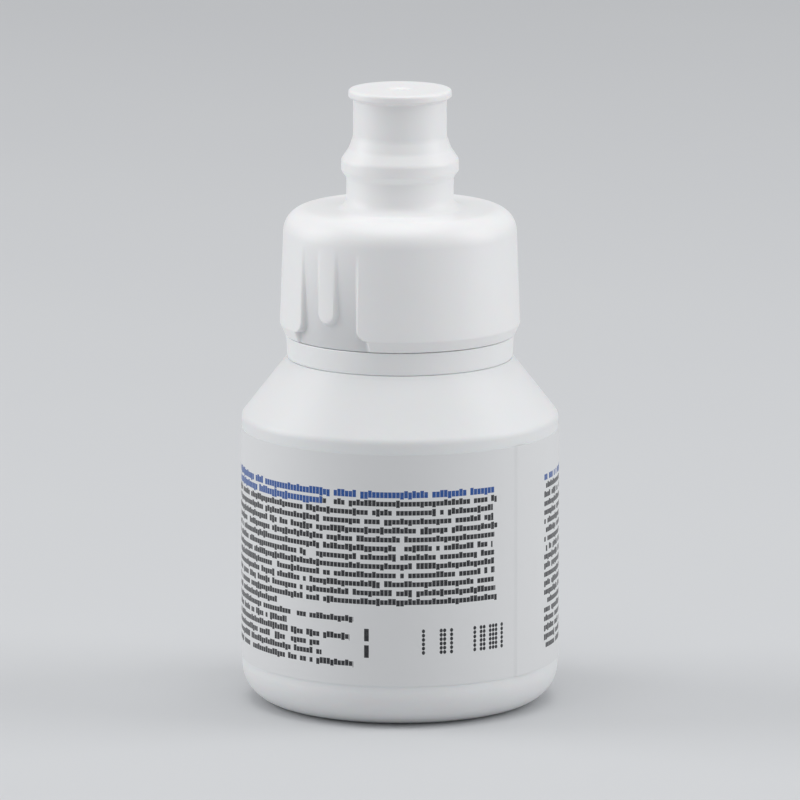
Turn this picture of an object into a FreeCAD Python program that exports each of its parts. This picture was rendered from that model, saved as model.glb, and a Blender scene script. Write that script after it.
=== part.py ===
import FreeCAD, Part
import math
import os

# A small squeeze bottle for contact lens solution: a blown body with a wrap label, a drop nozzle pressed into
# its neck, a stepped screw cap over the nozzle and a tamper-evident band under the cap.
# Millimetres. The bottle stands on z = 0, its axis is +Z and its front faces -Y.

# Bottle body
BODY_RADIUS = 20.0
WALL = 0.8
HEEL_ROUND = 4.6
FOOT_INNER_RADIUS = 12.0
PUSH_UP_RADIUS = 8.5
PUSH_UP_HEIGHT = 1.5
FLOOR_HEIGHT = 1.2
INNER_HEEL = 2.4
SHOULDER_HEIGHT = 36.6
SHOULDER_ROUND = 1.2
COLLAR_RADIUS = 14.3
COLLAR_HEIGHT = 43.9
SHOULDER_CEILING = 42.7

# Neck finish, with its thread left off
NECK_RADIUS = 12.2
NECK_FOOT_RADIUS = 12.6
NECK_TOP = 60.0
BORE_RADIUS = 10.6
BEAD_RADIUS = 13.2
BEAD_LOW = 45.2
BEAD_LAND = 0.6
BEAD_TOP = 46.8

# Wrap label
LABEL_THICKNESS = 0.1
LABEL_LOW = 5.6
LABEL_HIGH = 35.0
OVERLAP_START_DEG = 47.0
OVERLAP_END_DEG = 58.0

# Drop nozzle
PLUG_RADIUS = 10.5
PLUG_WALL = 1.0
PLUG_LOW = 52.0
PLUG_BEAD_RADIUS = 10.65
PLUG_BEAD_HEIGHTS = (54.2, 57.2)
PLUG_BEAD_HALF = 0.5
PLUG_LEAD_IN = 0.6
PLUG_CEILING = 59.4
FLANGE_RADIUS = 11.9
FLANGE_THICKNESS = 1.0
SPOUT_FLARE_RADIUS = 7.2
SPOUT_FOOT_RADIUS = 4.2
SPOUT_NECK_RADIUS = 2.4
SPOUT_TIP_RADIUS = 2.7
SPOUT_TIP_HEIGHT = 75.2
SPOUT_TIP_LENGTH = 2.2
SPOUT_TIP_CHAMFER = 0.6
SPOUT_FLARE = 2.6
ORIFICE_LENGTH = 2.4
ORIFICE_RADIUS = 0.6
ORIFICE_FUNNEL = 1.0
CHANNEL_RADIUS = 2.9
CHANNEL_FOOT = 62.2
SPOUT_WALL = 1.2

# Screw cap
CAP_LOW = 46.9
CAP_RIM_RADIUS = 14.5
SKIRT_RADIUS = 15.15
SKIRT_LOW = 48.3
SKIRT_TOP_RADIUS = 14.6
SKIRT_EDGE_ROUND = 3.0
CAP_DECK = 62.9
CAP_BORE_RADIUS = 13.5
CAP_CEILING = 61.4
SEAT_INNER_RADIUS = 10.2
SEAT_OUTER_RADIUS = 11.5
BOSS_RADIUS = 6.75
BOSS_FOOT = 1.0
BOSS_TOP = 66.8
RING_RADIUS = 7.4
RING_LOW = 67.7
RING_TOP = 69.1
FLARE_RADIUS = 6.45
FLARE_TOP = 70.5
TOWER_RADIUS = 5.9
TOWER_LOW = 72.0
TOWER_WALL = 1.2
TOWER_MOUTH_RADIUS = 8.05
TOWER_MOUTH_TOP = 63.5
TOWER_BORE_LOW = 69.0
TOWER_BORE_TOP = 71.0
LIP_RADIUS = 6.5
LIP_THICKNESS = 1.3
LIP_CHAMFER = 0.35
TOTAL_HEIGHT = 78.0
PIN_ROOT_RADIUS = 1.4
PIN_RADIUS = 0.5
PIN_LOW = 74.2
PIN_CLEARANCE = 0.3
ROOF_THICKNESS = 1.5

# Grip recesses of the cap: each holds one upright rib, and its floor leans out until it meets the skirt
GRIPS = 2
GRIP_DEG = -38.2
GRIP_HALF_WIDTH = 4.3
GRIP_FOOT_HALF_WIDTH = 5.8
GRIP_CORNER = 1.3
GRIP_FLOOR_RADIUS = 14.3
GRIP_TOP = 59.6
RIB_HALF_WIDTH = 1.4
RIB_LOW = 50.0
RIB_ROUND = 1.25

# Tamper-evident band
BAND_RADIUS = 14.4
BAND_FOOT_RADIUS = 14.2
BAND_TOP = 46.75
BAND_BORE_RADIUS = 13.45
BAND_LIP_RADIUS = 12.8
BAND_LIP_TOP = 44.8
BRIDGES = 8
BRIDGE_WIDTH = 0.9
BRIDGE_DEPTH = 0.5
BRIDGE_SINK = 0.1

ORIGIN = FreeCAD.Vector(0, 0, 0)
UP = FreeCAD.Vector(0, 0, 1)


def rounded_outline(corners):
    """Closed wire through (radius, height, rounding) corners, each softened by a tangent arc."""
    points = [FreeCAD.Vector(r, 0, z) for r, z, _ in corners]
    runs = []
    for i, (_, _, rounding) in enumerate(corners):
        here = points[i]
        back = (points[i - 1] - here).normalize()
        ahead = (points[(i + 1) % len(points)] - here).normalize()
        if not rounding:
            runs.append((here, None, here))
            continue
        half = back.getAngle(ahead) / 2
        trim = rounding / math.tan(half)
        bisector = (back + ahead).normalize()
        middle = here + bisector * (rounding / math.sin(half) - rounding)
        runs.append((here + back * trim, middle, here + ahead * trim))
    edges = []
    for i, (start, middle, end) in enumerate(runs):
        if middle:
            edges.append(Part.Arc(start, middle, end).toShape())
        following = runs[(i + 1) % len(runs)][0]
        if (following - end).Length > 1e-7:
            edges.append(Part.LineSegment(end, following).toShape())
    return Part.Wire(edges)


def turned(corners):
    """Solid of revolution about the bottle's axis."""
    return Part.Face(rounded_outline(corners)).revolve(ORIGIN, UP, 360)


def bottle_body():
    """Blown body with a pushed-up base, conical shoulder, collar ledge, locking bead and open neck."""
    inner = BODY_RADIUS - WALL
    return turned([
        (0, PUSH_UP_HEIGHT, 0),
        (PUSH_UP_RADIUS, PUSH_UP_HEIGHT, 0),
        (FOOT_INNER_RADIUS, 0, 0),
        (BODY_RADIUS, 0, HEEL_ROUND),
        (BODY_RADIUS, SHOULDER_HEIGHT, SHOULDER_ROUND),
        (COLLAR_RADIUS, COLLAR_HEIGHT, 0),
        (NECK_FOOT_RADIUS, COLLAR_HEIGHT, 0),
        (NECK_FOOT_RADIUS, BEAD_LOW, 0),
        (BEAD_RADIUS, BEAD_LOW, 0),
        (BEAD_RADIUS, BEAD_LOW + BEAD_LAND, 0),
        (NECK_RADIUS, BEAD_TOP, 0),
        (NECK_RADIUS, NECK_TOP, 0),
        (BORE_RADIUS, NECK_TOP, 0),
        (BORE_RADIUS, SHOULDER_CEILING, 0),
        (COLLAR_RADIUS - WALL / 2, SHOULDER_CEILING, 0),
        (inner, SHOULDER_HEIGHT - WALL / 3, 0),
        (inner, FLOOR_HEIGHT + INNER_HEEL, 0),
        (inner - INNER_HEEL, FLOOR_HEIGHT, 0),
        (FOOT_INNER_RADIUS, FLOOR_HEIGHT, 0),
        (PUSH_UP_RADIUS, PUSH_UP_HEIGHT + WALL, 0),
        (0, PUSH_UP_HEIGHT + WALL, 0),
    ])


def wrap_label():
    """Thin sleeve round the body whose two ends overlap in one upright strip."""
    height = LABEL_HIGH - LABEL_LOW
    base = FreeCAD.Vector(0, 0, LABEL_LOW)
    outer = BODY_RADIUS + LABEL_THICKNESS
    sleeve = Part.makeCylinder(outer, height, base)
    sweep = OVERLAP_END_DEG - OVERLAP_START_DEG
    strip = Part.makeCylinder(outer + LABEL_THICKNESS, height, base, UP, sweep)
    strip.rotate(ORIGIN, UP, OVERLAP_START_DEG - 90)
    return sleeve.fuse(strip).cut(Part.makeCylinder(BODY_RADIUS, height, base)).removeSplitter()


def dropper_nozzle():
    """Plug with sealing beads, a flange on the neck and a tapered spout with a fine orifice."""
    deck = NECK_TOP + FLANGE_THICKNESS
    plug_inner = PLUG_RADIUS - PLUG_WALL
    corners = [
        (PLUG_RADIUS - PLUG_LEAD_IN, PLUG_LOW, 0),
        (PLUG_RADIUS, PLUG_LOW + 2 * PLUG_LEAD_IN, 0),
    ]
    for height in PLUG_BEAD_HEIGHTS:
        corners += [
            (PLUG_RADIUS, height - PLUG_BEAD_HALF, 0),
            (PLUG_BEAD_RADIUS, height, 0),
            (PLUG_RADIUS, height + PLUG_BEAD_HALF, 0),
        ]
    corners += [
        (PLUG_RADIUS, NECK_TOP, 0),
        (FLANGE_RADIUS, NECK_TOP, 0),
        (FLANGE_RADIUS, deck, 0),
        (SPOUT_FLARE_RADIUS, deck, 0),
        (SPOUT_FOOT_RADIUS, deck + SPOUT_FLARE, 0),
        (SPOUT_NECK_RADIUS, SPOUT_TIP_HEIGHT - SPOUT_TIP_LENGTH, 0),
        (SPOUT_TIP_RADIUS, SPOUT_TIP_HEIGHT - SPOUT_TIP_LENGTH / 2, 0),
        (SPOUT_TIP_RADIUS - SPOUT_TIP_CHAMFER, SPOUT_TIP_HEIGHT, 0),
        (ORIFICE_RADIUS, SPOUT_TIP_HEIGHT, 0),
        (ORIFICE_RADIUS, SPOUT_TIP_HEIGHT - ORIFICE_LENGTH, 0),
        (SPOUT_NECK_RADIUS - SPOUT_WALL, SPOUT_TIP_HEIGHT - ORIFICE_LENGTH - ORIFICE_FUNNEL, 0),
        (CHANNEL_RADIUS, CHANNEL_FOOT, 0),
        (plug_inner, PLUG_CEILING, 0),
        (plug_inner, PLUG_LOW, 0),
    ]
    return turned(corners)


def skirt_radius(height):
    """Outer radius of the cap's drafted skirt at a height."""
    share = (height - SKIRT_LOW) / (CAP_DECK - SKIRT_LOW)
    return SKIRT_RADIUS + share * (SKIRT_TOP_RADIUS - SKIRT_RADIUS)


def grip_recess():
    """Cutter for a grip recess at the front: a window with the rib left out, kept off the leaning floor."""
    window = Part.Face(rounded_outline([
        (-GRIP_HALF_WIDTH, CAP_DECK, 0),
        (-GRIP_HALF_WIDTH, SKIRT_LOW, GRIP_CORNER),
        (-GRIP_FOOT_HALF_WIDTH, SKIRT_LOW, 0),
        (-GRIP_FOOT_HALF_WIDTH, CAP_LOW, 0),
        (GRIP_FOOT_HALF_WIDTH, CAP_LOW, 0),
        (GRIP_FOOT_HALF_WIDTH, SKIRT_LOW, 0),
        (GRIP_HALF_WIDTH, SKIRT_LOW, GRIP_CORNER),
        (GRIP_HALF_WIDTH, CAP_DECK, 0),
        (RIB_HALF_WIDTH, CAP_DECK, 0),
        (RIB_HALF_WIDTH, RIB_LOW, RIB_ROUND),
        (-RIB_HALF_WIDTH, RIB_LOW, RIB_ROUND),
        (-RIB_HALF_WIDTH, CAP_DECK, 0),
    ]))
    lean = (skirt_radius(GRIP_TOP) - GRIP_FLOOR_RADIUS) / (GRIP_TOP - CAP_LOW)
    height = CAP_DECK - CAP_LOW
    base = FreeCAD.Vector(0, 0, CAP_LOW)
    floor = Part.makeCone(GRIP_FLOOR_RADIUS, GRIP_FLOOR_RADIUS + lean * height, height, base)
    return window.extrude(FreeCAD.Vector(0, -2 * SKIRT_RADIUS, 0)).cut(floor)


def screw_cap():
    """Stepped cap: skirt with grips, ringed tower over the spout, seat ring and a pin for the orifice."""
    boss_bore = BOSS_RADIUS - TOWER_WALL
    tower_bore = TOWER_RADIUS - TOWER_WALL
    roof = TOTAL_HEIGHT - ROOF_THICKNESS
    seat = NECK_TOP + FLANGE_THICKNESS
    lip_low = TOTAL_HEIGHT - LIP_THICKNESS
    cap = turned([
        (CAP_RIM_RADIUS, CAP_LOW, 0),
        (SKIRT_RADIUS, SKIRT_LOW, 0),
        (SKIRT_TOP_RADIUS, CAP_DECK, SKIRT_EDGE_ROUND),
        (BOSS_RADIUS + BOSS_FOOT, CAP_DECK, 0),
        (BOSS_RADIUS, CAP_DECK + BOSS_FOOT, 0),
        (BOSS_RADIUS, BOSS_TOP, 0),
        (RING_RADIUS, RING_LOW, 0),
        (RING_RADIUS, RING_TOP, 0),
        (FLARE_RADIUS, FLARE_TOP, 0),
        (TOWER_RADIUS, TOWER_LOW, 0),
        (TOWER_RADIUS, lip_low, 0),
        (LIP_RADIUS, lip_low + LIP_CHAMFER, 0),
        (LIP_RADIUS, TOTAL_HEIGHT - LIP_CHAMFER, 0),
        (LIP_RADIUS - LIP_CHAMFER, TOTAL_HEIGHT, 0),
        (0, TOTAL_HEIGHT, 0),
        (0, PIN_LOW, 0),
        (PIN_RADIUS, PIN_LOW, 0),
        (PIN_RADIUS, SPOUT_TIP_HEIGHT + PIN_CLEARANCE, 0),
        (PIN_ROOT_RADIUS, roof, 0),
        (tower_bore, roof, 0),
        (tower_bore, TOWER_BORE_TOP, 0),
        (boss_bore, TOWER_BORE_LOW, 0),
        (boss_bore, TOWER_MOUTH_TOP, 0),
        (TOWER_MOUTH_RADIUS, CAP_CEILING, 0),
        (SEAT_INNER_RADIUS, CAP_CEILING, 0),
        (SEAT_INNER_RADIUS, seat, 0),
        (SEAT_OUTER_RADIUS, seat, 0),
        (SEAT_OUTER_RADIUS, CAP_CEILING, 0),
        (CAP_BORE_RADIUS, CAP_CEILING, 0),
        (CAP_BORE_RADIUS, CAP_LOW, 0),
    ])
    for i in range(GRIPS):
        recess = grip_recess()
        recess.rotate(ORIGIN, UP, GRIP_DEG + i * 360 / GRIPS)
        cap = cap.cut(recess)
    return cap


def tamper_band():
    """Ring under the cap with a lip behind the neck's bead and short bridges that reach the cap's rim."""
    band = turned([
        (BAND_LIP_RADIUS, COLLAR_HEIGHT, 0),
        (BAND_FOOT_RADIUS, COLLAR_HEIGHT, 0),
        (BAND_RADIUS, BAND_TOP, 0),
        (BAND_BORE_RADIUS, BAND_TOP, 0),
        (BAND_BORE_RADIUS, BAND_LIP_TOP, 0),
        (BAND_LIP_RADIUS, BAND_LIP_TOP, 0),
    ])
    height = CAP_LOW - BAND_TOP
    middle = (BAND_BORE_RADIUS + BAND_RADIUS) / 2
    corner = FreeCAD.Vector(-BRIDGE_WIDTH / 2, -middle - BRIDGE_DEPTH / 2, BAND_TOP - BRIDGE_SINK)
    for i in range(BRIDGES):
        bridge = Part.makeBox(BRIDGE_WIDTH, BRIDGE_DEPTH, height + BRIDGE_SINK, corner)
        bridge.rotate(ORIGIN, UP, i * 360 / BRIDGES)
        band = band.fuse(bridge)
    return band


NODES = {
    "bottle_body": bottle_body,
    "wrap_label": wrap_label,
    "dropper_nozzle": dropper_nozzle,
    "screw_cap": screw_cap,
    "tamper_band": tamper_band,
}

os.makedirs("parts", exist_ok=True)
for node, build in NODES.items():
    shape = build()
    shape.exportStep(f"parts/{node}.step")
    print(f"{node}: valid {shape.isValid()}, solids {len(shape.Solids)}, {shape.Volume:.0f} mm3")
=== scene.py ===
import math

import bpy
import numpy as np
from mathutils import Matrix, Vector


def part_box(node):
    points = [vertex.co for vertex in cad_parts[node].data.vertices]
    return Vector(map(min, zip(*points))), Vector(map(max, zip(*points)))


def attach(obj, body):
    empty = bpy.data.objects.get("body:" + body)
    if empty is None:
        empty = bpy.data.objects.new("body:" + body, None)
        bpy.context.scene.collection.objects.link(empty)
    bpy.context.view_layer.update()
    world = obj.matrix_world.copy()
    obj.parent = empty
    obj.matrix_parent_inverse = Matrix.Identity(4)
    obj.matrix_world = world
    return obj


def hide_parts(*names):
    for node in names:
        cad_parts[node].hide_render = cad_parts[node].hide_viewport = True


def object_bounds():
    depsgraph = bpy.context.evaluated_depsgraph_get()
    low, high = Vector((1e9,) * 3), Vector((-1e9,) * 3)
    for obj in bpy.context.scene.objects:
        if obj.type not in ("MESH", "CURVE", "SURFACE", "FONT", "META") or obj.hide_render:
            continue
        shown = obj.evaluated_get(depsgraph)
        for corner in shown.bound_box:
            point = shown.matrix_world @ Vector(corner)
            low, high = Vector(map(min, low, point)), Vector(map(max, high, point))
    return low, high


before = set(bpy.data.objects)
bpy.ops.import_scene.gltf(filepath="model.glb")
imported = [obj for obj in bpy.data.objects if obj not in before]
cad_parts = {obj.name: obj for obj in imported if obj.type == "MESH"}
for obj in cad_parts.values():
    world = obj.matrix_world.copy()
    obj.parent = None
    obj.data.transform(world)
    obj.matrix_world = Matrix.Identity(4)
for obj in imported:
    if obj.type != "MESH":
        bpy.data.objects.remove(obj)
cad_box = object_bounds()

# A small white squeeze bottle for lens solution. Metres; the bottle stands on z = 0 and its front faces -Y.
# Angles are counted from the front towards +X, so they grow anticlockwise seen from above.
MM = 0.001
TURN = 2 * math.pi

# Main sizes, read from the solids
body_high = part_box("bottle_body")[1]
label_low, label_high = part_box("wrap_label")
nozzle_low, nozzle_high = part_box("dropper_nozzle")
cap_low, cap_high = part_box("screw_cap")
band_low, band_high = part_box("tamper_band")

# Surfaces lie this far inside the solids, so that no chord stands outside their box
SKIN = 0.01 * MM

# Roundings of moulded edges and corners
EDGE_FINE = 0.1 * MM
EDGE = 0.2 * MM
EDGE_SOFT = 0.4 * MM
FILLET = 0.8 * MM
BLEND = 1.5 * MM

# Bottle body
BODY_RADIUS = body_high.x - SKIN
WALL = 0.8 * MM
INNER_RADIUS = BODY_RADIUS - WALL
HEEL_ROUND = 4.6 * MM
FOOT_INNER_RADIUS = 12.0 * MM
PUSH_UP_RADIUS = 8.5 * MM
PUSH_UP_HEIGHT = 1.5 * MM
PUSH_UP_INSIDE = PUSH_UP_HEIGHT + WALL
FLOOR_HEIGHT = 1.2 * MM
SHOULDER_HEIGHT = 36.6 * MM
SHOULDER_INSIDE = SHOULDER_HEIGHT - WALL / 3
SHOULDER_ROUND = 1.2 * MM
COLLAR_RADIUS = 14.3 * MM
COLLAR_HEIGHT = band_low.z
CEILING_RADIUS = COLLAR_RADIUS - WALL / 2
CEILING_HEIGHT = 42.7 * MM

# Neck finish
NECK_RADIUS = 12.2 * MM
NECK_FOOT_RADIUS = 12.6 * MM
NECK_TOP = body_high.z
BORE_RADIUS = 10.6 * MM
BEAD_RADIUS = 13.2 * MM
BEAD_LOW = 45.2 * MM
BEAD_LAND = 0.6 * MM
BEAD_TOP = 46.8 * MM

# Thread: one helix on the neck and one in the cap, about half a pitch apart. Its run-out is in turns
THREAD_LEAD = 3.2 * MM
THREAD_DEPTH = 0.95 * MM
THREAD_ROOT = 0.95 * MM
THREAD_CREST = 0.4 * MM
THREAD_RUN_OUT = 0.09
NECK_THREAD_LOW = 49.6 * MM
NECK_THREAD_TURNS = 2.1
CAP_THREAD_LOW = 51.25 * MM
CAP_THREAD_TURNS = 1.6

# Wrap label
LABEL_THICKNESS = 0.1 * MM
LABEL_CORNER = 1.6 * MM
OVERLAP_START = math.radians(47)
OVERLAP_END = math.radians(58)
OVERLAP_RAMP = math.radians(2)

# Drop nozzle
FLANGE_RADIUS = 11.9 * MM
FLANGE_TOP = 61.0 * MM
PLUG_RADIUS = 10.5 * MM
PLUG_BORE_RADIUS = 9.5 * MM
PLUG_LEAD_IN = 0.6 * MM
PLUG_LEAD_IN_HEIGHT = 2 * PLUG_LEAD_IN
PLUG_CEILING = 59.4 * MM
PLUG_BEAD = 0.1 * MM
PLUG_BEAD_HEIGHTS = (54.2 * MM, 57.2 * MM)
PLUG_BEAD_HALF = 0.5 * MM
SPOUT_FLARE_RADIUS = 7.2 * MM
SPOUT_FOOT_RADIUS = 4.2 * MM
SPOUT_FOOT_HEIGHT = 63.6 * MM
SPOUT_FOOT_ROUND = 2.4 * MM
SPOUT_NECK_RADIUS = 2.4 * MM
SPOUT_NECK_HEIGHT = 73.0 * MM
SPOUT_TIP_RADIUS = 2.7 * MM
SPOUT_TIP_HEIGHT = 74.1 * MM
SPOUT_END_RADIUS = 2.1 * MM
SPOUT_END = nozzle_high.z - SKIN
ORIFICE_RADIUS = 0.6 * MM
ORIFICE_LOW = 72.8 * MM
CHANNEL_TOP_RADIUS = 1.2 * MM
CHANNEL_TOP = 71.8 * MM
CHANNEL_RADIUS = 2.9 * MM
CHANNEL_FOOT = 62.2 * MM

# Screw cap
CAP_BORE_RADIUS = 13.5 * MM
CAP_RIM_RADIUS = 14.5 * MM
SKIRT_RADIUS = cap_high.x - SKIN
SKIRT_MIDDLE_RADIUS = CAP_BORE_RADIUS + WALL / 2
SKIRT_LOW = 48.3 * MM
SKIRT_TOP_RADIUS = 14.6 * MM
SKIRT_EDGE_ROUND = 3.0 * MM
CAP_DECK = 62.9 * MM
CAP_CEILING = 61.4 * MM
SEAT_INNER_RADIUS = 10.2 * MM
SEAT_OUTER_RADIUS = 11.5 * MM
BOSS_RADIUS = 6.75 * MM
BOSS_TOP = 66.8 * MM
RING_RADIUS = 7.4 * MM
RING_LOW = 67.7 * MM
RING_TOP = 69.1 * MM
FLARE_RADIUS = 6.45 * MM
FLARE_TOP = 70.5 * MM
TOWER_RADIUS = 5.9 * MM
TOWER_LOW = 72.0 * MM
TOWER_WALL = 1.2 * MM
TOWER_MOUTH_RADIUS = 8.05 * MM
TOWER_MOUTH_TOP = 63.5 * MM
TOWER_BORE_LOW = 69.0 * MM
TOWER_BORE_TOP = 71.0 * MM
LIP_RADIUS = 6.5 * MM
LIP_LOW = 76.7 * MM
LIP_CHAMFER = 0.35 * MM
CAP_TOP = cap_high.z - SKIN
ROOF = 76.5 * MM
PIN_RADIUS = 0.5 * MM
PIN_LOW = 74.2 * MM
PIN_ROOT_RADIUS = 1.4 * MM
PIN_ROOT_LOW = 75.5 * MM
GATE_RADIUS = 1.4 * MM
GATE_DEPTH = 0.2 * MM
GATE_STUB_RADIUS = 0.5 * MM
GATE_STUB_DEPTH = 0.14 * MM
GATE_STUB_ROUND = 0.02 * MM

# Grip recesses of the cap, each with one upright rib
GRIP_ANGLES = [math.radians(angle) for angle in (-38.2, 141.8)]
GRIP_HALF_WIDTH = 4.3 * MM
GRIP_CORNER = 1.3 * MM
GRIP_FLOOR_RADIUS = 14.3 * MM
GRIP_TOP = 59.6 * MM
GRIP_EDGE = 0.5 * MM
RIB_HALF_WIDTH = 1.4 * MM
RIB_LOW = 50.0 * MM

# Tamper-evident band
BAND_RADIUS = band_high.x - SKIN
BAND_FOOT_RADIUS = 14.2 * MM
BAND_LOW = band_low.z + SKIN
BAND_TOP = 46.81 * MM
BAND_BORE_RADIUS = 13.45 * MM
BAND_LIP_RADIUS = 12.8 * MM
BAND_LIP_TOP = 44.8 * MM
BRIDGES = 8
BRIDGE_WIDTH = 0.9 * MM
BRIDGE_DEPTH = 0.5 * MM
BRIDGE_TAPER = 0.62
BRIDGE_SINK = 0.05 * MM

# Fineness of the surfaces. The label's steps are those of a corner, the way round, the ramp, the overlap and
# the other corner
ARC_SAG = 0.006 * MM
ARC_STEP = math.radians(22.5)
ARC_CHORDS_LEAST = 2
RUN_STEP = 3.0 * MM
RUN_END = 0.1 * MM
RUN_SHORT = 3 * RUN_END
THREAD_STEP = 0.2 * MM
GRIP_STEP = 0.25 * MM
ROUND_STEPS = 176
FINE_REACH = math.radians(25)
FINE_STEP = math.radians(0.6)
LABEL_STEPS = (13, 259, 9, 11, 13)
TRUE_EDGE = math.radians(32)


def soft_outline(corners, closed):
    """Outline through (radius, height, rounding[, step of the run that follows]) corners.
    A rounding becomes an arc tangent to both sides, centred on the corner's bisector, in chords that turn at
    most ARC_STEP and leave the arc by at most ARC_SAG.
    A straight run gets points at most one step apart, and one close to each end to hold its shading flat."""
    points = np.array([corner[:2] for corner in corners])
    count = len(points)
    arcs = []
    for i, corner in enumerate(corners):
        here, rounding = points[i], corner[2]
        if not rounding:
            arcs.append(here[None])
            continue
        back = points[i - 1] - here
        ahead = points[(i + 1) % count] - here
        back, ahead = back / np.linalg.norm(back), ahead / np.linalg.norm(ahead)
        half = math.acos(np.clip(back @ ahead, -1, 1)) / 2
        bisector = (back + ahead) / np.linalg.norm(back + ahead)
        centre = here + bisector * rounding / math.sin(half)
        start = here + back * rounding / math.tan(half) - centre
        sweep = math.copysign(math.pi - 2 * half, back[0] * ahead[1] - back[1] * ahead[0])
        chord = min(ARC_STEP, 2 * math.acos(1 - ARC_SAG / rounding))
        chords = max(ARC_CHORDS_LEAST, math.ceil(abs(sweep) / chord))
        angle = np.linspace(0, -sweep, chords + 1)[:, None]
        across = np.array([-start[1], start[0]])
        arcs.append(centre + start * np.cos(angle) + across * np.sin(angle))
    outline = []
    for i, corner in enumerate(corners):
        outline.append(arcs[i])
        if i == count - 1 and not closed:
            break
        start, end = arcs[i][-1], arcs[(i + 1) % count][0]
        length = np.linalg.norm(end - start)
        if length > RUN_SHORT:
            step = corner[3] if len(corner) > 3 else RUN_STEP
            share = np.linspace(RUN_END, length - RUN_END, math.ceil(length / step) + 1)[:, None] / length
            outline.append(start + (end - start) * share)
    return np.concatenate(outline)


def round_angles(fine=()):
    """Angles once round the axis, closer together within reach of each fine angle."""
    angles = np.linspace(0, TURN, ROUND_STEPS, endpoint=False)
    for centre in fine:
        away = np.abs((angles - centre + math.pi) % TURN - math.pi)
        near = np.arange(-FINE_REACH, FINE_REACH + FINE_STEP / 2, FINE_STEP) + centre
        angles = np.concatenate([angles[away > FINE_REACH + FINE_STEP / 2], near % TURN])
    return np.sort(angles)


def mesh_piece(name, points, quads, triangles=()):
    """Object at the origin from points and faces that point outwards, smooth but for its true edges."""
    mesh = bpy.data.meshes.new(name)
    faces = [face for group in (quads, triangles) for face in np.asarray(group).tolist()]
    mesh.from_pydata(points.tolist(), [], faces)
    mesh.shade_smooth()
    mesh.set_sharp_from_angle(angle=TRUE_EDGE)
    piece = bpy.data.objects.new(name, mesh)
    bpy.context.scene.collection.objects.link(piece)
    return piece


def around(radius, angle, height):
    """Points (r sin a, -r cos a, z), one a row."""
    return np.stack([radius * np.sin(angle), -radius * np.cos(angle), height], -1).reshape(-1, 3)


def turned(name, outline, angles, closed=False, relief=None):
    """Surface of revolution: each outline point (r, z) is carried round the axis through all angles.
    relief(a, r, z) gives a grid point's own radius. An open outline starts and ends in a pole on the axis."""
    rings = outline if closed else outline[1:-1]
    radius, height, angle = np.broadcast_arrays(rings[:, :1], rings[:, 1:], angles)
    if relief:
        radius = relief(angle, radius, height)
    points = around(radius, angle, height)
    index = np.arange(radius.size).reshape(radius.shape)
    right = np.roll(index, -1, axis=1)
    quads = np.stack([index, right, np.roll(right, -1, axis=0), np.roll(index, -1, axis=0)], -1)
    if closed:
        return mesh_piece(name, points, quads.reshape(-1, 4))
    poles = np.array([[0, 0, outline[0, 1]], [0, 0, outline[-1, 1]]])
    first, last = np.full_like(index[0], radius.size), np.full_like(index[0], radius.size + 1)
    triangles = np.concatenate([
        np.stack([first, right[0], index[0]], -1),
        np.stack([last, index[-1], right[-1]], -1),
    ])
    return mesh_piece(name, np.concatenate([points, poles]), quads[:-1].reshape(-1, 4), triangles)


def smooth_step(value):
    """0 below 0, 1 above 1 and 3t^2 - 2t^3 between them."""
    t = np.clip(value, 0, 1)
    return t * t * (3 - 2 * t)


def thread_ridge(angle, height, low, turns):
    """Height of a helical ridge at (angle, height): its middle climbs one lead a turn from low, its sides
    slope from THREAD_ROOT to THREAD_CREST off the middle, and it sinks away over a run-out at both ends."""
    ridge = np.zeros_like(height)
    for lap in range(math.ceil(turns) + 1):
        travelled = angle / TURN + lap
        off = np.abs(height - low - THREAD_LEAD * travelled)
        flank = smooth_step((THREAD_ROOT - off) / (THREAD_ROOT - THREAD_CREST))
        ends = smooth_step(travelled / THREAD_RUN_OUT) * smooth_step((turns - travelled) / THREAD_RUN_OUT)
        ridge = np.maximum(ridge, THREAD_DEPTH * flank * ends)
    return ridge


def bottle_body():
    """Blown body turned from its outer and inner outline, with the thread raised on the neck's wall."""
    outline = soft_outline([
        (0, PUSH_UP_HEIGHT, 0),
        (PUSH_UP_RADIUS, PUSH_UP_HEIGHT, FILLET),
        (FOOT_INNER_RADIUS, 0, FILLET),
        (BODY_RADIUS, 0, HEEL_ROUND),
        (BODY_RADIUS, SHOULDER_HEIGHT, SHOULDER_ROUND),
        (COLLAR_RADIUS, COLLAR_HEIGHT, EDGE),
        (NECK_FOOT_RADIUS, COLLAR_HEIGHT, EDGE),
        (NECK_FOOT_RADIUS, BEAD_LOW, EDGE),
        (BEAD_RADIUS, BEAD_LOW, EDGE),
        (BEAD_RADIUS, BEAD_LOW + BEAD_LAND, EDGE),
        (NECK_RADIUS, BEAD_TOP, EDGE_SOFT, THREAD_STEP),
        (NECK_RADIUS, NECK_TOP, EDGE),
        (BORE_RADIUS, NECK_TOP, EDGE),
        (BORE_RADIUS, CEILING_HEIGHT, FILLET),
        (CEILING_RADIUS, CEILING_HEIGHT, FILLET),
        (INNER_RADIUS, SHOULDER_INSIDE, SHOULDER_ROUND),
        (INNER_RADIUS, FLOOR_HEIGHT, HEEL_ROUND - WALL),
        (FOOT_INNER_RADIUS, FLOOR_HEIGHT, FILLET),
        (PUSH_UP_RADIUS, PUSH_UP_INSIDE, FILLET),
        (0, PUSH_UP_INSIDE, 0),
    ], closed=False)

    def with_thread(angle, radius, height):
        on_neck = (np.abs(radius - NECK_RADIUS) < SKIN) & (height > BEAD_TOP)
        return radius + on_neck * thread_ridge(angle, height, NECK_THREAD_LOW, NECK_THREAD_TURNS)

    return turned("bottle_shell", outline, round_angles(), relief=with_thread)


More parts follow.
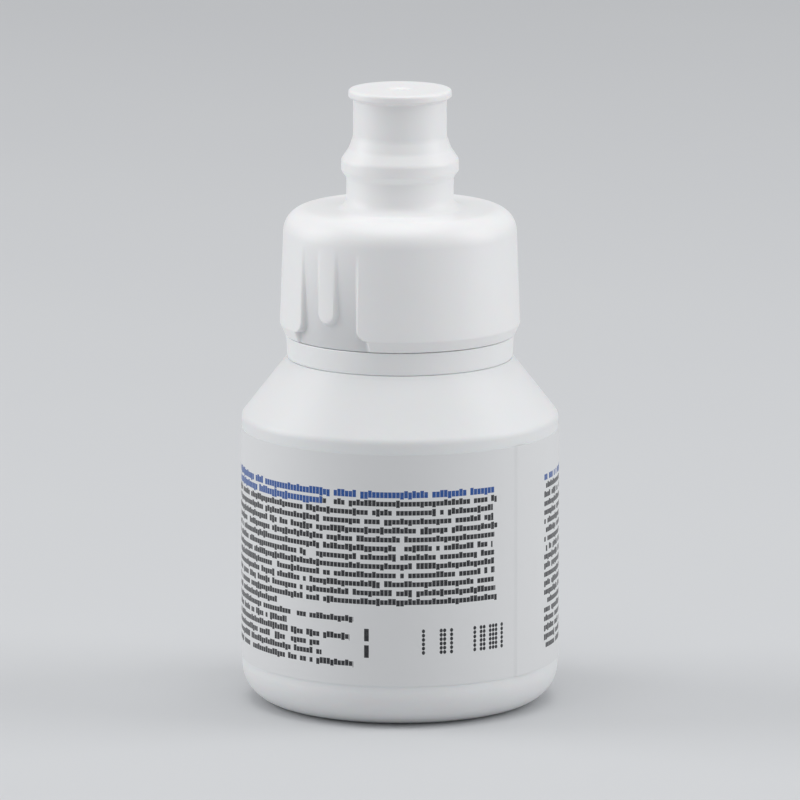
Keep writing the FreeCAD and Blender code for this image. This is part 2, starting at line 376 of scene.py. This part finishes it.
def wrap_label():
    """Label sheet: a thin rectangle carried once round the body and on over its own start.
    Its radius climbs by one thickness over the ramp before the overlap, and its ends have round corners."""
    start, end = OVERLAP_START, OVERLAP_END + TURN
    corner = LABEL_CORNER / BODY_RADIUS
    stops = (start, start + corner, start + TURN - OVERLAP_RAMP, start + TURN, end - corner, end)
    runs = [np.linspace(*stops[i:i + 2], steps, endpoint=False) for i, steps in enumerate(LABEL_STEPS)]
    angle = np.concatenate([*runs, [end]])
    lift = smooth_step((angle - start - TURN + OVERLAP_RAMP) / OVERLAP_RAMP)
    inner = BODY_RADIUS + LABEL_THICKNESS * lift
    outer = inner + LABEL_THICKNESS - SKIN
    from_end = np.minimum(angle - start, end - angle) * BODY_RADIUS
    short = np.clip(LABEL_CORNER - from_end, 0, LABEL_CORNER)
    inset = LABEL_CORNER - np.sqrt(LABEL_CORNER ** 2 - short ** 2)
    low, high = label_low.z + inset, label_high.z - inset
    radius = np.stack([outer, outer, inner, inner], -1)
    height = np.stack([low, high, high, low], -1)
    index = np.arange(radius.size).reshape(radius.shape)
    ahead = np.roll(index, -1, axis=1)
    quads = np.stack([index[:-1], index[1:], ahead[1:], ahead[:-1]], -1).reshape(-1, 4)
    ends = np.stack([index[0], index[-1][::-1]])
    return mesh_piece("label_sheet", around(radius, angle[:, None], height), np.concatenate([quads, ends]))


def drop_nozzle():
    """Nozzle turned from one closed outline: beaded plug, flange, flared spout with a round tip, and bore."""
    corners = [
        (PLUG_RADIUS - PLUG_LEAD_IN, nozzle_low.z, EDGE_FINE),
        (PLUG_RADIUS, nozzle_low.z + PLUG_LEAD_IN_HEIGHT, EDGE),
    ]
    for height in PLUG_BEAD_HEIGHTS:
        corners += [
            (PLUG_RADIUS, height - PLUG_BEAD_HALF, EDGE),
            (PLUG_RADIUS + PLUG_BEAD, height, EDGE),
            (PLUG_RADIUS, height + PLUG_BEAD_HALF, EDGE),
        ]
    corners += [
        (PLUG_RADIUS, NECK_TOP, EDGE_FINE),
        (FLANGE_RADIUS, NECK_TOP, EDGE),
        (FLANGE_RADIUS, FLANGE_TOP, EDGE_SOFT),
        (SPOUT_FLARE_RADIUS, FLANGE_TOP, BLEND),
        (SPOUT_FOOT_RADIUS, SPOUT_FOOT_HEIGHT, SPOUT_FOOT_ROUND),
        (SPOUT_NECK_RADIUS, SPOUT_NECK_HEIGHT, BLEND),
        (SPOUT_TIP_RADIUS, SPOUT_TIP_HEIGHT, EDGE_SOFT),
        (SPOUT_END_RADIUS, SPOUT_END, EDGE_SOFT),
        (ORIFICE_RADIUS, SPOUT_END, EDGE),
        (ORIFICE_RADIUS, ORIFICE_LOW, EDGE),
        (CHANNEL_TOP_RADIUS, CHANNEL_TOP, EDGE_SOFT),
        (CHANNEL_RADIUS, CHANNEL_FOOT, FILLET),
        (PLUG_BORE_RADIUS, PLUG_CEILING, EDGE_SOFT),
        (PLUG_BORE_RADIUS, nozzle_low.z, EDGE_FINE),
    ]
    return turned("drop_nozzle", soft_outline(corners, closed=True), round_angles(), closed=True)


def grip_window(angle, radius, height):
    """1 inside a grip recess and 0 outside it, with soft edges. Seen straight on, a recess is a window whose
    lower corners open out in quarter rounds, less a rib with a half-round lower end."""
    drop = np.clip(SKIRT_LOW + GRIP_CORNER - height, 0, GRIP_CORNER)
    half = GRIP_HALF_WIDTH + GRIP_CORNER - np.sqrt(GRIP_CORNER ** 2 - drop ** 2)
    below = np.maximum(RIB_LOW + RIB_HALF_WIDTH - height, 0)
    window = np.zeros_like(radius)
    for grip in GRIP_ANGLES:
        facing = np.cos(angle - grip) > 0
        across = np.where(facing, np.abs(radius * np.sin(angle - grip)), SKIRT_RADIUS)
        inside = np.minimum(half - across, np.hypot(across, below) - RIB_HALF_WIDTH)
        window = np.maximum(window, smooth_step(0.5 + inside / GRIP_EDGE))
    return window


def gripped(angle, radius, height):
    """Radius of the skirt, sunk inside the grip windows to a floor cone that leans out and meets the skirt
    at GRIP_TOP."""
    rise = (height - cap_low.z) / (GRIP_TOP - cap_low.z)
    draft = (SKIRT_TOP_RADIUS - SKIRT_RADIUS) / (CAP_DECK - SKIRT_LOW)
    meet = SKIRT_RADIUS + draft * (GRIP_TOP - SKIRT_LOW)
    floor = GRIP_FLOOR_RADIUS + rise * (meet - GRIP_FLOOR_RADIUS)
    return radius - grip_window(angle, radius, height) * np.maximum(radius - floor, 0)


def screw_cap():
    """Stepped cap turned from one outline, with grips sunk in the skirt and the thread raised in the bore.
    Its point attribute holds the painted shade of the grip recesses: how far the skirt's wall is thinned at
    each point, which greys the cap there."""
    boss_bore = BOSS_RADIUS - TOWER_WALL
    tower_bore = TOWER_RADIUS - TOWER_WALL
    outline = soft_outline([
        (0, PIN_LOW, 0),
        (PIN_RADIUS, PIN_LOW, EDGE),
        (PIN_RADIUS, PIN_ROOT_LOW, EDGE_FINE),
        (PIN_ROOT_RADIUS, ROOF, EDGE_SOFT),
        (tower_bore, ROOF, EDGE_SOFT),
        (tower_bore, TOWER_BORE_TOP, FILLET),
        (boss_bore, TOWER_BORE_LOW, FILLET),
        (boss_bore, TOWER_MOUTH_TOP, FILLET),
        (TOWER_MOUTH_RADIUS, CAP_CEILING, FILLET),
        (SEAT_INNER_RADIUS, CAP_CEILING, EDGE_FINE),
        (SEAT_INNER_RADIUS, FLANGE_TOP, EDGE_FINE),
        (SEAT_OUTER_RADIUS, FLANGE_TOP, EDGE_FINE),
        (SEAT_OUTER_RADIUS, CAP_CEILING, EDGE_FINE),
        (CAP_BORE_RADIUS, CAP_CEILING, EDGE_SOFT, THREAD_STEP),
        (CAP_BORE_RADIUS, cap_low.z, EDGE),
        (CAP_RIM_RADIUS, cap_low.z, EDGE, GRIP_STEP),
        (SKIRT_RADIUS, SKIRT_LOW, EDGE_SOFT, GRIP_STEP),
        (SKIRT_TOP_RADIUS, CAP_DECK, SKIRT_EDGE_ROUND),
        (BOSS_RADIUS, CAP_DECK, BLEND),
        (BOSS_RADIUS, BOSS_TOP, FILLET),
        (RING_RADIUS, RING_LOW, EDGE_SOFT),
        (RING_RADIUS, RING_TOP, FILLET),
        (FLARE_RADIUS, FLARE_TOP, BLEND),
        (TOWER_RADIUS, TOWER_LOW, BLEND),
        (TOWER_RADIUS, LIP_LOW, EDGE),
        (LIP_RADIUS, LIP_LOW + LIP_CHAMFER, EDGE),
        (LIP_RADIUS, CAP_TOP, EDGE_SOFT),
        (GATE_RADIUS, CAP_TOP, EDGE_FINE),
        (GATE_RADIUS - GATE_DEPTH, CAP_TOP - GATE_DEPTH, EDGE_FINE),
        (GATE_STUB_RADIUS, CAP_TOP - GATE_DEPTH, GATE_STUB_ROUND),
        (GATE_STUB_RADIUS, CAP_TOP - GATE_STUB_DEPTH, GATE_STUB_ROUND),
        (0, CAP_TOP - GATE_STUB_DEPTH, 0),
    ], closed=False)

    def with_grips_and_thread(angle, radius, height):
        in_bore = (np.abs(radius - CAP_BORE_RADIUS) < SKIN) & (height < CAP_CEILING)
        on_skirt = (radius > SKIRT_MIDDLE_RADIUS) & (height < CAP_DECK)
        ridge = thread_ridge(angle, height, CAP_THREAD_LOW, CAP_THREAD_TURNS)
        return np.where(on_skirt, gripped(angle, radius, height), radius - in_bore * ridge)

    cap = turned("cap_shell", outline, round_angles(GRIP_ANGLES), relief=with_grips_and_thread)
    place = np.empty(3 * len(cap.data.vertices))
    cap.data.vertices.foreach_get("co", place)
    x, y, z = place.reshape(-1, 3).T
    radius = np.hypot(x, y)
    # Painted shade: deepest at the foot of the grip recesses, fading out towards GRIP_TOP
    depth = np.clip((GRIP_TOP - z) / (GRIP_TOP - SKIRT_LOW), 0, 1) * (radius > SKIRT_MIDDLE_RADIUS)
    recess_shade = cap.data.attributes.new("recess_shade", "FLOAT", "POINT")
    recess_shade.data.foreach_set("value", depth * grip_window(np.arctan2(x, -y), radius, z))
    return cap


def tamper_band():
    """Band turned from one closed outline with a catch lip at its foot."""
    outline = soft_outline([
        (BAND_LIP_RADIUS, BAND_LOW, EDGE_FINE),
        (BAND_FOOT_RADIUS, BAND_LOW, EDGE),
        (BAND_RADIUS, BAND_TOP, EDGE_FINE),
        (BAND_BORE_RADIUS, BAND_TOP, EDGE_FINE),
        (BAND_BORE_RADIUS, BAND_LIP_TOP, EDGE_FINE),
        (BAND_LIP_RADIUS, BAND_LIP_TOP, EDGE),
    ], closed=True)
    return turned("break_band", outline, round_angles(), closed=True)


def break_bridges():
    """Bridges between band and cap: one tapered block, its eight corners turned to each bridge angle."""
    side = np.array([-1, 1, 1, -1])
    depth = np.array([-1, -1, 1, 1])
    share = np.array([1.0, BRIDGE_TAPER])[:, None]
    middle = (BAND_BORE_RADIUS + BAND_RADIUS) / 2
    across = (side * share * BRIDGE_WIDTH / 2).ravel()
    out = (middle - depth * share * BRIDGE_DEPTH / 2).ravel()
    height = np.repeat([BAND_TOP - BRIDGE_SINK, cap_low.z], len(side))
    turn = np.arange(BRIDGES)[:, None] * TURN / BRIDGES
    points = np.stack([
        out * np.sin(turn) + across * np.cos(turn),
        -out * np.cos(turn) + across * np.sin(turn),
        np.broadcast_to(height, (BRIDGES, len(height))),
    ], -1).reshape(-1, 3)
    block = np.array([[3, 2, 1, 0], [4, 5, 6, 7], [0, 1, 5, 4], [1, 2, 6, 5], [2, 3, 7, 6], [3, 0, 4, 7]])
    faces = (block + np.arange(BRIDGES)[:, None, None] * len(height)).reshape(-1, 4)
    return mesh_piece("break_bridges", points, faces)


class Wire:
    """An output of a node that takes part in Python expressions: each operator adds one Math node."""

    def __init__(self, finish, socket):
        self.finish = finish
        self.socket = socket

    def math(self, operation, *others):
        return self.finish.node("ShaderNodeMath", {"operation": operation}, dict(enumerate((self, *others))))

    def reflected(self, operation, other):
        return self.finish.node("ShaderNodeMath", {"operation": operation}, {0: other, 1: self})

    def __add__(self, other):
        return self.math("ADD", other)

    def __sub__(self, other):
        return self.math("SUBTRACT", other)

    def __mul__(self, other):
        return self.math("MULTIPLY", other)

    def __truediv__(self, other):
        return self.math("DIVIDE", other)

    def __lt__(self, other):
        return self.math("LESS_THAN", other)

    def __gt__(self, other):
        return self.math("GREATER_THAN", other)

    def __rsub__(self, other):
        return self.reflected("SUBTRACT", other)

    __radd__ = __add__
    __rmul__ = __mul__

    def between(self, low, high):
        """1 where the value lies between low and high, else 0."""
        return (self > low) * (self < high)

    def soft(self, low, high):
        """Smooth rise from 0 at low to 1 at high."""
        inputs = {"Value": self, "From Min": low, "From Max": high}
        return self.finish.node("ShaderNodeMapRange", {"interpolation_type": "SMOOTHSTEP"}, inputs)


class Finish:
    """One material: a Principled shader with its constants, and one method that adds any other node."""

    def __init__(self, name, **constants):
        self.material = bpy.data.materials.new(name)
        self.material.use_nodes = True
        self.tree = self.material.node_tree
        self.shader = self.tree.nodes["Principled BSDF"]
        for socket, value in constants.items():
            self.shader.inputs[socket.replace("_", " ")].default_value = value

    def node(self, kind, settings=None, inputs=None, output=0):
        """A node of that kind: its settings are set first, then its sockets get values or links."""
        made = self.tree.nodes.new(kind)
        for name, value in (settings or {}).items():
            setattr(made, name, value)
        for name, value in (inputs or {}).items():
            if isinstance(value, Wire):
                self.tree.links.new(value.socket, made.inputs[name])
            else:
                made.inputs[name].default_value = value
        return Wire(self, made.outputs[output])

    def place(self):
        """The object's own coordinates in millimetres."""
        metres = self.node("ShaderNodeTexCoord", output="Object")
        return self.node("ShaderNodeVectorMath", {"operation": "SCALE"}, {0: metres, "Scale": 1 / MM})

    def parts(self, vector):
        """The x, y and z of a vector."""
        return [self.node("ShaderNodeSeparateXYZ", inputs={0: vector}, output=i) for i in range(3)]

    def noise(self, where, lumps, detail):
        """Soft noise from 0 to 1, with so many lumps in a millimetre."""
        return self.node("ShaderNodeTexNoise", inputs={"Vector": where, "Scale": lumps, "Detail": detail})

    def mix(self, share, first, second):
        """Colour that goes from first to second as share goes from 0 to 1, by the node's colour sockets."""
        return self.node("ShaderNodeMix", {"data_type": "RGBA"}, {0: share, 6: first, 7: second}, output=2)

    def chances(self, column, row):
        """Three random numbers from 0 to 1 for each cell of a grid."""
        cell = self.node("ShaderNodeCombineXYZ", inputs={0: column, 1: row})
        colour = self.node("ShaderNodeTexWhiteNoise", {"noise_dimensions": "2D"}, {"Vector": cell}, "Color")
        return [self.node("ShaderNodeSeparateColor", inputs={0: colour}, output=i) for i in range(3)]

    def feed(self, socket, value):
        self.tree.links.new(value.socket, self.shader.inputs[socket])

    def roughness(self, base, *swings):
        """Roughness that starts at a base and grows by each (pattern, swing) pair's product."""
        self.feed("Roughness", sum((pattern * swing for pattern, swing in swings), base))

    def relief(self, *layers):
        """Raises the surface by (pattern, height in millimetres) layers."""
        height = sum(pattern * tall for pattern, tall in layers)
        bump = self.node("ShaderNodeBump", inputs={"Height": height, "Distance": MM}, output="Normal")
        self.feed("Normal", bump)


# Colours
BOTTLE_WHITE = (0.83, 0.835, 0.84, 1)
BOTTLE_SHADE = (0.80, 0.805, 0.81, 1)
CAP_WHITE = (0.91, 0.91, 0.91, 1)
CAP_SHADE = (0.88, 0.88, 0.885, 1)
# Painted shade laid on the grip recesses of the cap
CAP_RECESS_SHADE = (0.70, 0.705, 0.715, 1)
LABEL_WHITE = (0.76, 0.765, 0.77, 1)
NOZZLE_MILK = (0.80, 0.81, 0.80, 1)
NOZZLE_SHADE = (0.72, 0.74, 0.73, 1)
PRINT_BLUE = (0.011, 0.08, 0.32, 1)
PRINT_DARK = (0.014, 0.015, 0.019, 1)
FLOOR_PALE = (0.63, 0.64, 0.65, 1)
FLOOR_SHADE = (0.61, 0.62, 0.635, 1)

# Gloss of the surfaces: roughness, and how far clouds, grain and ink raise it
PLASTIC_IOR = 1.5
FLOOR_IOR = 1.45
BOTTLE_ROUGHNESS = 0.36
BOTTLE_SWING = 0.06
CAP_ROUGHNESS = 0.33
CAP_CLOUD_SWING = 0.06
CAP_GRAIN_SWING = 0.05
NOZZLE_ROUGHNESS = 0.34
NOZZLE_SWING = 0.08
LABEL_ROUGHNESS = 0.3
LABEL_SWING = 0.08
FLOOR_ROUGHNESS = 0.85

# Relief of the surfaces, in millimetres
BOTTLE_GRAIN = 0.0075
BOTTLE_WAVE = 0.036
SEAM_HEIGHT = 0.048
SEAM_HALF_TOP = 0.05
SEAM_HALF_FOOT = 0.22
CAP_GRAIN = 0.0048
CAP_WAVE = 0.0096
NOZZLE_GRAIN = 0.012
LABEL_GRAIN = 0.005
LABEL_WAVE = 0.02


def blown_plastic():
    """White blown polyethylene: faint clouds, a fine waxy grain on shallow waves, and the mould's parting
    line in the XZ plane."""
    finish = Finish("blown_plastic", Subsurface_Weight=0.12, Subsurface_Scale=1.2 * MM, IOR=PLASTIC_IOR)
    place = finish.place()
    _, y, _ = finish.parts(place)
    cloud = finish.noise(place, lumps=0.12, detail=3)
    grain = finish.noise(place, lumps=2.6, detail=4)
    wave = finish.noise(place, lumps=0.35, detail=2)
    seam = 1 - y.math("ABSOLUTE").soft(SEAM_HALF_TOP, SEAM_HALF_FOOT)
    finish.feed("Base Color", finish.mix(cloud, BOTTLE_SHADE, BOTTLE_WHITE))
    finish.roughness(BOTTLE_ROUGHNESS, (cloud, BOTTLE_SWING), (grain, BOTTLE_SWING))
    finish.relief((grain, BOTTLE_GRAIN), (wave, BOTTLE_WAVE), (seam, SEAM_HEIGHT))
    return finish.material


def moulded_plastic():
    """White moulded polypropylene: smoother than the body, with a very fine grain, and painted shade that
    greys the grip recesses, where the wall is thin and light is lost through it."""
    finish = Finish("moulded_plastic", Subsurface_Weight=0.1, Subsurface_Scale=1.0 * MM, IOR=PLASTIC_IOR)
    place = finish.place()
    cloud = finish.noise(place, lumps=0.15, detail=3)
    grain = finish.noise(place, lumps=5.5, detail=3)
    wave = finish.noise(place, lumps=0.5, detail=2)
    # Painted shade: the grip recesses are mixed towards a grey
    recess_shade = finish.node("ShaderNodeAttribute", {"attribute_name": "recess_shade"}, output="Fac")
    finish.feed("Base Color", finish.mix(recess_shade, finish.mix(cloud, CAP_SHADE, CAP_WHITE), CAP_RECESS_SHADE))
    finish.roughness(CAP_ROUGHNESS, (cloud, CAP_CLOUD_SWING), (grain, CAP_GRAIN_SWING))
    finish.relief((grain, CAP_GRAIN), (wave, CAP_WAVE))
    return finish.material


def nozzle_plastic():
    """Soft natural polyethylene: milky, in clouds of two shades, with a waxy grain."""
    finish = Finish("nozzle_plastic", Subsurface_Weight=0.45, Subsurface_Scale=1.6 * MM, IOR=PLASTIC_IOR)
    place = finish.place()
    cloud = finish.noise(place, lumps=0.3, detail=3)
    grain = finish.noise(place, lumps=4.0, detail=3)
    finish.feed("Base Color", finish.mix(cloud, NOZZLE_SHADE, NOZZLE_MILK))
    finish.roughness(NOZZLE_ROUGHNESS, (cloud, NOZZLE_SWING))
    finish.relief((grain, NOZZLE_GRAIN))
    return finish.material


# Print on the label, in millimetres along its arc from the front and in height
ROW_TOP = 30.54
ROW_PITCH = 1.137
CELL = 0.5
FULL_ROWS = 13
BLOCK_LEFT = -32.0
BLOCK_RIGHT = 13.0
BLOCK_RAG = 0.8
BLUE_END = -10.1
COLUMN_ENDS = (-17.5, -5.9, -15.7, -6.4, -10.5, -10.2, -5.9)
ALL_ROWS = FULL_ROWS + len(COLUMN_ENDS)
NEXT_BLOCK_LEFT = 22.5
NEXT_BLOCK_RIGHT = 52.0
NEXT_BLOCK_RAG = 4.0
MARK_LEFT, MARK_RIGHT = -4.5, -3.9
MARK_HEIGHTS = ((9.2, 10.8), (11.3, 12.9))
CODE_GROUPS = ((1.8, 3.15), (4.5, 7.65), (9.45, 13.95))
CODE_LOW, CODE_HIGH = 9.6, 12.9
DOT_WIDTH = 0.45
DOT_HEIGHT = 0.55

# Shape of a dash in its cell and of a dot in its own, as shares of the cell from its top and left
DASH_TOP, DASH_FOOT = 0.25, 0.78
DASH_LEFT, DASH_RIGHT = 0.05, 0.95
TALL_RISE = 0.15
DEEP_DROP = 0.14
BOLD_GAIN = 0.06
DOT_RADIUS_SQUARED = 0.2

# Shares of the cells that are gaps or have tall or deep dashes, and of the code's columns that are missing,
# which are drawn from a row of their own
GAP_SHARE = 0.09
TALL_SHARE = 0.3
DEEP_SHARE = 0.14
LOST_COLUMN_SHARE = 0.38
CODE_ROW = 0.5

# Cover of the ink: the least, and what the film's grain adds
INK_COVER = 0.9
INK_GRAIN = 0.18


def printed_film():
    """White label film with plain marks where small print would stand. The arc length along the label and the
    height are cut into rows of cells; a random number for each cell leaves gaps between words and makes some
    dashes taller. Columns of round dots, some columns missing, stand where a stamped code would be."""
    finish = Finish("printed_film", IOR=PLASTIC_IOR)
    place = finish.place()
    x, y, z = finish.parts(place)
    along = x.math("ARCTAN2", 0 - y) * (BODY_RADIUS / MM)
    line, letter = (ROW_TOP - z) / ROW_PITCH, along / CELL
    row, down, aside = line.math("FLOOR"), line.math("FRACT"), letter.math("FRACT")

    def rows(first, stop):
        """1 on the rows from first to the one before stop."""
        return row.between(first - 0.5, stop - 0.5)

    gap, tall, deep = finish.chances(letter.math("FLOOR"), row)
    rag = finish.node("ShaderNodeTexWhiteNoise", {"noise_dimensions": "1D"}, {"W": row})
    blue = rows(0, 1) + rows(1, 2) * (along < BLUE_END)
    bold = blue * BOLD_GAIN
    top = DASH_TOP - (tall > 1 - TALL_SHARE) * TALL_RISE - bold
    foot = DASH_FOOT + (deep > 1 - DEEP_SHARE) * DEEP_DROP + bold
    dash = down.between(top, foot) * aside.between(DASH_LEFT, DASH_RIGHT) * (gap > GAP_SHARE)
    block = along.between(BLOCK_LEFT, BLOCK_RIGHT - rag * BLOCK_RAG) * rows(0, FULL_ROWS)
    for i, end in enumerate(COLUMN_ENDS, FULL_ROWS):
        block = block + along.between(BLOCK_LEFT, end) * rows(i, i + 1)
    next_end = NEXT_BLOCK_RIGHT - rag * NEXT_BLOCK_RAG
    block = block + along.between(NEXT_BLOCK_LEFT, next_end) * rows(0, ALL_ROWS)
    mark = along.between(MARK_LEFT, MARK_RIGHT) * sum(z.between(*ends) for ends in MARK_HEIGHTS)
    dot_along, dot_up = along / DOT_WIDTH, (z - CODE_LOW) / DOT_HEIGHT
    there, _, _ = finish.chances(dot_along.math("FLOOR"), CODE_ROW)
    dot_x, dot_z = dot_along.math("FRACT") - 0.5, dot_up.math("FRACT") - 0.5
    dot = (dot_x * dot_x + dot_z * dot_z < DOT_RADIUS_SQUARED) * (there > LOST_COLUMN_SHARE)
    code = dot * sum(along.between(*ends) for ends in CODE_GROUPS) * z.between(CODE_LOW, CODE_HIGH)
    ink = dash * block + mark + code
    grain = finish.noise(place, lumps=3.0, detail=3)
    cloud = finish.noise(place, lumps=0.1, detail=2)
    wave = finish.noise(place, lumps=0.25, detail=2)
    tone = finish.mix(blue, PRINT_DARK, PRINT_BLUE)
    finish.feed("Base Color", finish.mix(ink * (INK_COVER + grain * INK_GRAIN), LABEL_WHITE, tone))
    finish.roughness(LABEL_ROUGHNESS, (cloud, LABEL_SWING), (ink, LABEL_SWING))
    finish.relief((grain, LABEL_GRAIN), (wave, LABEL_WAVE))
    return finish.material


def floor_paint():
    """Pale plain floor with a faint mottle."""
    finish = Finish("floor_paint", Roughness=FLOOR_ROUGHNESS, IOR=FLOOR_IOR)
    cloud = finish.noise(finish.place(), lumps=0.01, detail=2)
    finish.feed("Base Color", finish.mix(cloud, FLOOR_SHADE, FLOOR_PALE))
    return finish.material


def dress(piece, material, body, slot, *nodes):
    """Gives a piece its material and body, and hides the solids that it stands for. The slot is not used."""
    piece.data.materials.append(material)
    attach(piece, body)
    if nodes:
        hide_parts(*nodes)


def build_bottle():
    """All pieces of the bottle. The band, its bridges and the cap share one plastic."""
    moulded = moulded_plastic()
    dress(bottle_body(), blown_plastic(), "bottle", "bottle_plastic", "bottle_body")
    dress(wrap_label(), printed_film(), "bottle", "label_film", "wrap_label")
    dress(drop_nozzle(), nozzle_plastic(), "bottle", "nozzle_plastic", "dropper_nozzle")
    dress(tamper_band(), moulded, "band", "cap_plastic", "tamper_band")
    dress(break_bridges(), moulded, "band", "cap_plastic")
    dress(screw_cap(), moulded, "cap", "cap_plastic", "screw_cap")


# Half of the floor's side
FLOOR_HALF = 3.0


def build_floor():
    """Wide square floor just under the bottle."""
    corners = [(-1, -1), (1, -1), (1, 1), (-1, 1)]
    points = np.array([[x * FLOOR_HALF, y * FLOOR_HALF, -SKIN] for x, y in corners])
    floor = mesh_piece("floor", points, [[0, 1, 2, 3]])
    floor.data.materials.append(floor_paint())


# Soft lights: name, place, width and height, and power in watts. All face the bottle's middle
LIGHTS = (
    ("left_light", (-0.93, 0.12, 0.42), (0.6, 0.9), 3.95),
    ("right_light", (0.83, -0.03, 0.42), (0.53, 0.9), 3.1),
    ("overhead_light", (0.0, 0.0, 1.18), (0.9, 0.9), 3.7),
    ("front_light", (0.0, -0.38, 1.1), (0.9, 0.6), 1.6),
)
LIGHT_TARGET = (0, 0, 0.04)
STUDIO_COLOUR = (0.92, 0.93, 0.95, 1)
STUDIO_STRENGTH = 0.48


def soft_light(name, place, size, power):
    """Rectangular soft light at a place, facing the target."""
    lamp = bpy.data.lights.new(name, "AREA")
    lamp.shape = "RECTANGLE"
    lamp.size, lamp.size_y = size
    lamp.energy = power
    holder = bpy.data.objects.new(name, lamp)
    bpy.context.scene.collection.objects.link(holder)
    holder.location = place
    holder.rotation_euler = (Vector(LIGHT_TARGET) - Vector(place)).to_track_quat("-Z", "Y").to_euler()


def build_light():
    """Soft lights in a pale, evenly lit studio."""
    for light in LIGHTS:
        soft_light(*light)
    world = bpy.data.worlds.new("studio")
    world.use_nodes = True
    background = world.node_tree.nodes["Background"]
    background.inputs["Color"].default_value = STUDIO_COLOUR
    background.inputs["Strength"].default_value = STUDIO_STRENGTH
    bpy.context.scene.world = world


# Camera: it looks at a share of the bottle's height
VIEW_ELEVATION = math.radians(10.75)
VIEW_DISTANCE = 1.2
VIEW_WIDTH = 0.101
VIEW_HEIGHT_SHARE = 0.49


def build_camera():
    """Camera in front of the bottle and a little above it, with a frame VIEW_WIDTH wide at the bottle."""
    target = Vector((0, 0, cad_box[1].z * VIEW_HEIGHT_SHARE))
    back = Vector((0, -math.cos(VIEW_ELEVATION), math.sin(VIEW_ELEVATION)))
    data = bpy.data.cameras.new("camera")
    data.lens = data.sensor_width * VIEW_DISTANCE / VIEW_WIDTH
    camera = bpy.data.objects.new("camera", data)
    bpy.context.scene.collection.objects.link(camera)
    camera.location = target + back * VIEW_DISTANCE
    camera.rotation_euler = (-back).to_track_quat("-Z", "Y").to_euler()
    bpy.context.scene.camera = camera


build_bottle()
build_floor()
build_light()
build_camera()
bpy.context.scene.view_settings.view_transform = "Standard"
